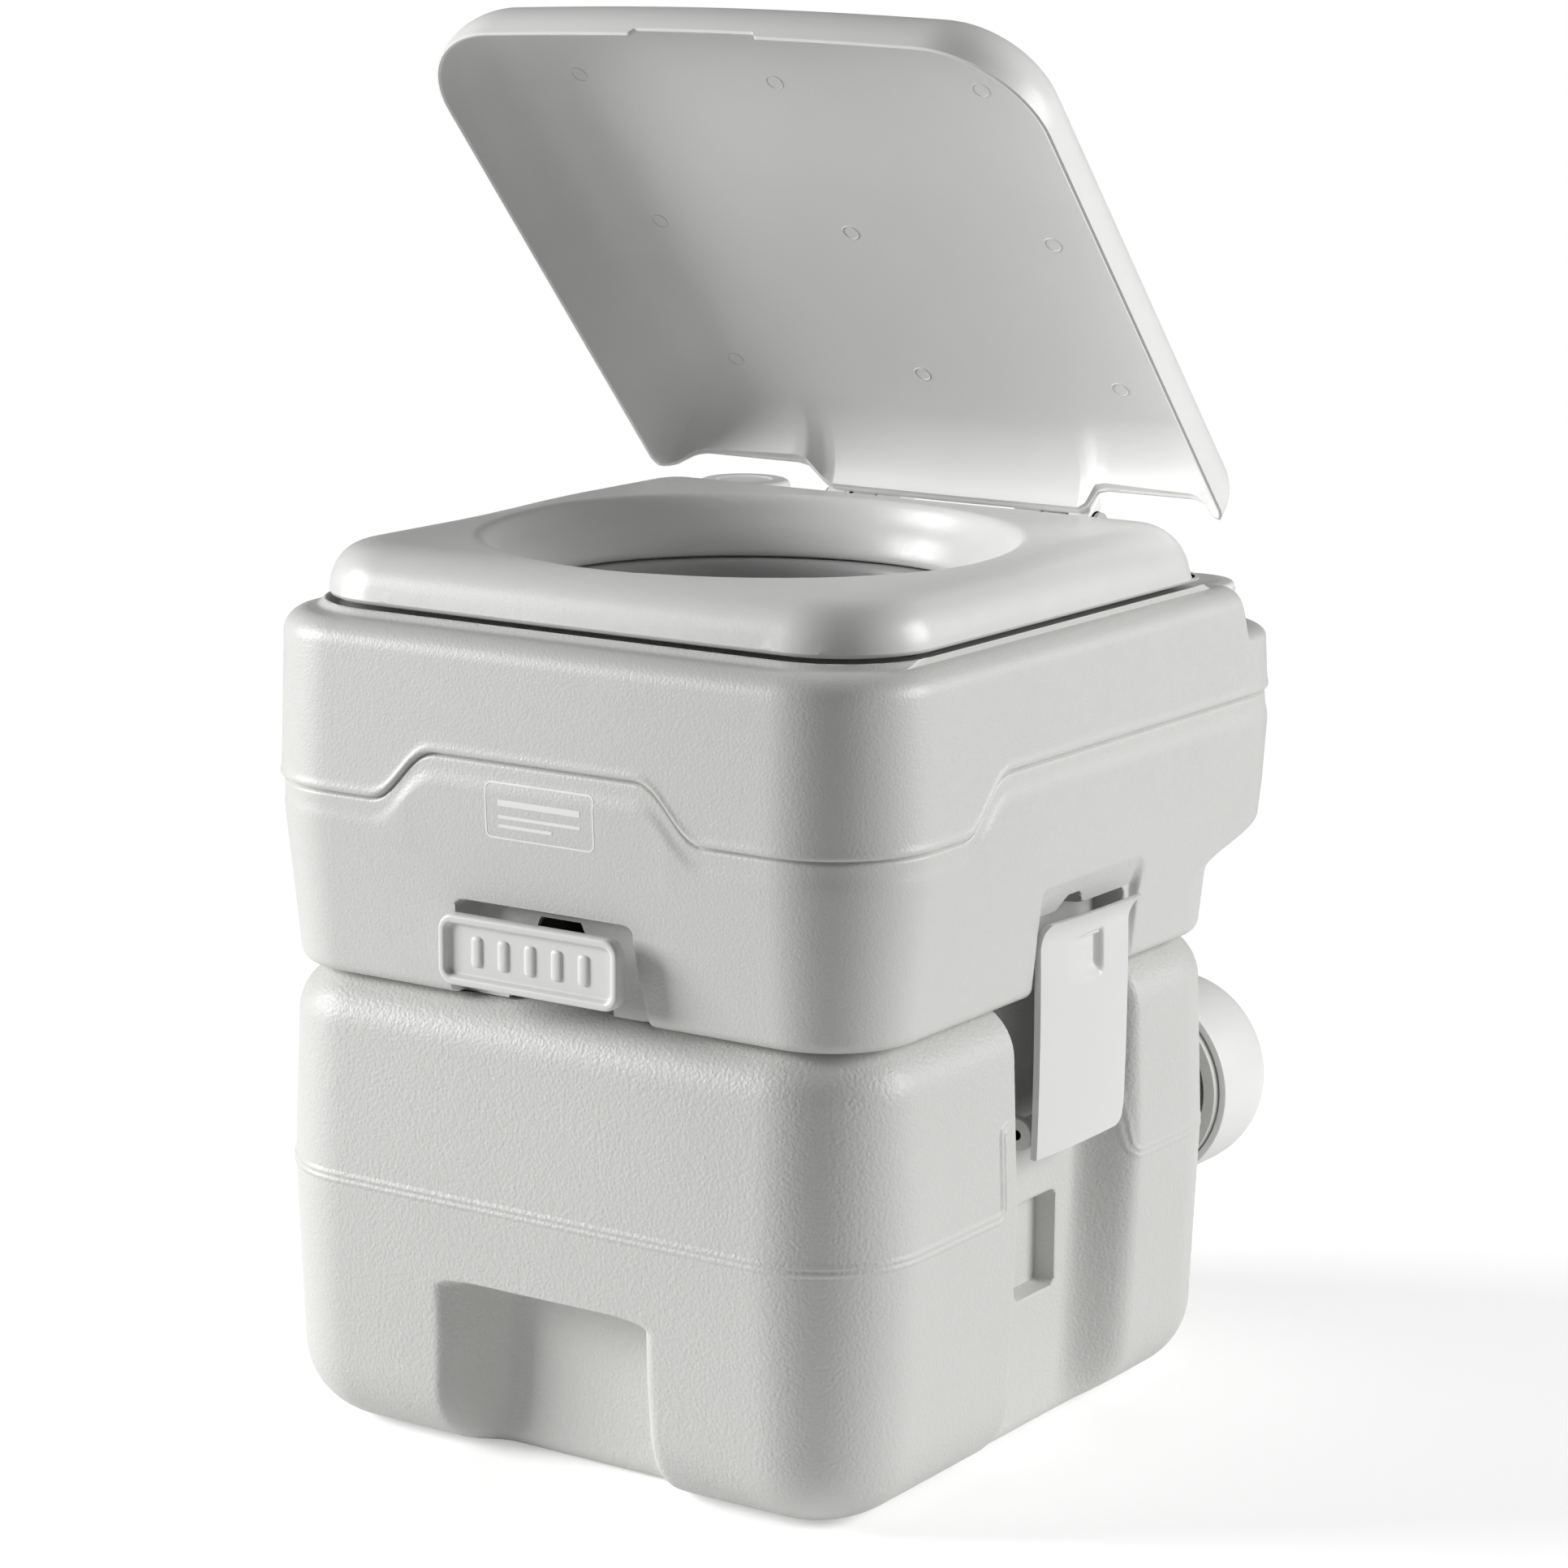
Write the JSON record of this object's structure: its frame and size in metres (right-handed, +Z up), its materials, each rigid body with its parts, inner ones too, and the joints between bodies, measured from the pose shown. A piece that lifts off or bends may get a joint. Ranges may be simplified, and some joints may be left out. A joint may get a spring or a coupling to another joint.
{
  "type": "portable camp toilet",
  "caption": "Two-tank portable camp toilet: bowl and hinged seat and lid on a water tank, latched over a waste tank with slide valve and swivel pour-out spout.",
  "frame": {"origin": "on the floor, at the middle of the width and of the water tank's depth", "axes": "+Z up, the front with the pull handle faces -Y, +X is the user's left when seated"},
  "size_m": [0.362, 0.4305, 0.6702],
  "materials": {
    "tank_plastic": "pebbled blow-moulded polyethylene",
    "seat_plastic": "satin",
    "lid_plastic": "satin",
    "bowl_plastic": "satin",
    "latch_plastic": "satin",
    "cap_plastic": "satin",
    "valve_plastic": "satin",
    "pin_plastic": "satin",
    "seal_rubber": "matt",
    "screw_steel": "bright"
  },
  "bodies": {
    "tanks": {"waste_tank_front": "tank_plastic", "waste_tank_back": "tank_plastic", "waste_tank_left_lower": "tank_plastic", "waste_tank_left_upper": "tank_plastic", "waste_tank_right_lower": "tank_plastic", "waste_tank_right_upper": "tank_plastic", "waste_tank_top": "tank_plastic", "waste_tank_floor": "tank_plastic", "water_tank_front": "tank_plastic", "water_tank_back": "tank_plastic", "water_tank_left_lower": "tank_plastic", "water_tank_left_upper": "tank_plastic", "water_tank_right_lower": "tank_plastic", "water_tank_right_upper": "tank_plastic", "water_tank_top": "tank_plastic", "water_tank_bay": "tank_plastic", "water_tank_well": "tank_plastic", "bowl": "bowl_plastic", "flush_nozzle": "tank_plastic", "flush_tube": "cap_plastic", "valve_base": "valve_plastic", "valve_cover": "valve_plastic", "valve_screws": "screw_steel", "gate_seal": "seal_rubber", "valve_gasket": "seal_rubber", "bowl_seal": "seal_rubber", "latch_pin_right": "pin_plastic", "latch_pin_left": "pin_plastic", "hinge_bracket_right": "seat_plastic", "hinge_bracket_left": "seat_plastic", "hinge_pin_right": "pin_plastic", "hinge_pin_left": "pin_plastic", "hinge_screws": "screw_steel", "pump_cylinder": "pin_plastic", "pump_foot_valve": "valve_plastic", "pump_collar": "cap_plastic", "spout_ring": "tank_plastic", "spout_seal": "seal_rubber"},
    "valve_gate": {"gate_blade": "valve_plastic", "pull_handle": "latch_plastic"},
    "latch_right": {"latch_right": "latch_plastic"},
    "latch_left": {"latch_left": "latch_plastic"},
    "seat": {"seat_front": "seat_plastic", "seat_back": "seat_plastic", "seat_left": "seat_plastic", "seat_right": "seat_plastic", "seat_bumpers": "seal_rubber"},
    "lid": {"lid_front": "lid_plastic", "lid_left": "lid_plastic", "lid_right": "lid_plastic", "lid_plate": "lid_plastic"},
    "pump_plunger": {"pump_rod": "pin_plastic", "pump_piston": "pin_plastic", "piston_seal": "seal_rubber", "pump_knob": "cap_plastic"},
    "filler_cap": {"filler_cap": "cap_plastic", "filler_gasket": "seal_rubber"},
    "spout": {"spout": "cap_plastic"},
    "spout_cap": {"spout_cap": "cap_plastic"}
  },
  "joints": [
    {"name": "lid_hinge", "type": "hinge", "parent": "tanks", "child": "lid", "pos_m": [0, 0.16, 0.412], "axis": [-1, 0, 0], "range_deg": [-48, 47]},
    {"name": "seat_hinge", "type": "hinge", "parent": "tanks", "child": "seat", "pos_m": [0, 0.16, 0.412], "axis": [-1, 0, 0], "range_deg": [0, 42]},
    {"name": "latch_right_swing", "type": "hinge", "parent": "tanks", "child": "latch_right", "pos_m": [0.16, -0.0063, 0.158], "axis": [0, 1, 0], "range_deg": [0, 75]},
    {"name": "latch_left_swing", "type": "hinge", "parent": "tanks", "child": "latch_left", "pos_m": [-0.16, -0.0063, 0.158], "axis": [0, -1, 0], "range_deg": [0, 75]},
    {"name": "valve_slide", "type": "slide", "parent": "tanks", "child": "valve_gate", "axis": [0, -1, 0], "range_m": [0, 0.102]},
    {"name": "pump_stroke", "type": "slide", "parent": "tanks", "child": "pump_plunger", "axis": [0, 0, 1], "range_m": [0, 0.02]},
    {"name": "filler_cap_turn", "type": "hinge", "parent": "tanks", "child": "filler_cap", "pos_m": [0.124, 0.1685, 0.3696], "axis": [0, 0, 1], "range_deg": [0, 330]},
    {"name": "spout_swivel", "type": "hinge", "parent": "tanks", "child": "spout", "pos_m": [0.107, 0.1515, 0.128], "axis": [0, 1, 0], "range_deg": [0, 180]},
    {"name": "spout_cap_turn", "type": "hinge", "parent": "spout", "child": "spout_cap", "pos_m": [0.025, 0.193, 0.128], "axis": [-1, 0, 0], "range_deg": [0, 330]}
  ]
}
